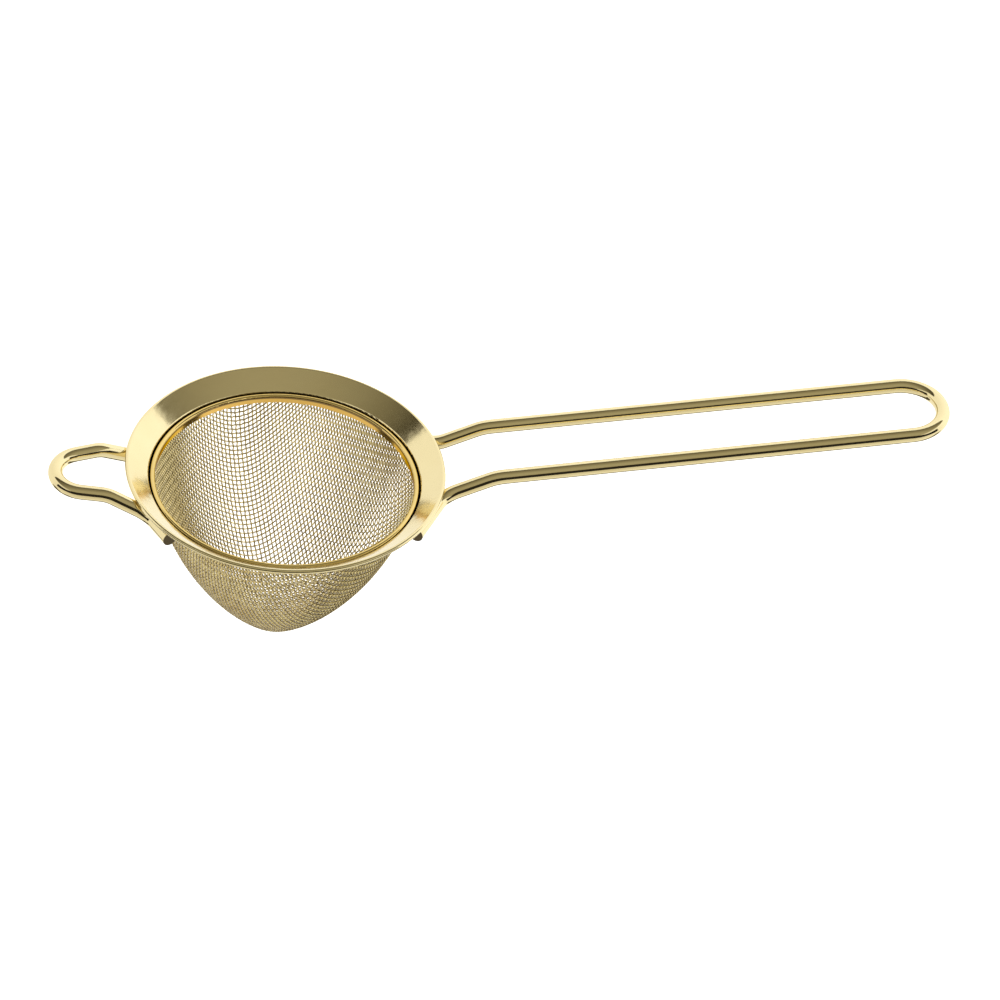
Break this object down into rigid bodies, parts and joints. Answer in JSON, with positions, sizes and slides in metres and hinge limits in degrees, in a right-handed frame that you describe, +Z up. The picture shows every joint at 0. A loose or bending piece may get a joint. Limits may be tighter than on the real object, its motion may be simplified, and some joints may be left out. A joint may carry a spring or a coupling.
{
  "type": "conical fine mesh strainer",
  "caption": "Hand-held conical fine-mesh cocktail strainer: woven wire cone crimped into a funnel-shaped rim band, with a long wire loop handle and a short wire rest loop opposite.",
  "frame": {"origin": "centre of the rim's top plane", "axes": "+Z up out of the bowl, +X along the handle to its far end, +Y to the handle's left side; the part is the same on both sides of the XZ plane"},
  "size_m": [0.2466, 0.086, 0.0705],
  "materials": {
    "plated_sheet": "pale gold plating over polished stainless sheet",
    "plated_clamp": "pale gold plating over stainless strip, lightly scuffed by the crimping",
    "plated_mesh": "pale gold plating over plain-woven stainless wire cloth",
    "plated_wire": "pale gold plating over polished stainless wire",
    "weld_metal": "plated resistance weld, slightly rough"
  },
  "bodies": {
    "root": {"rim_band": "plated_sheet", "mesh_clamp_ring": "plated_clamp", "mesh_cone": "plated_mesh", "handle_wire": "plated_wire", "rest_wire": "plated_wire", "handle_weld_left": "weld_metal", "handle_weld_right": "weld_metal", "rest_weld_left": "weld_metal", "rest_weld_right": "weld_metal"}
  },
  "joints": []
}
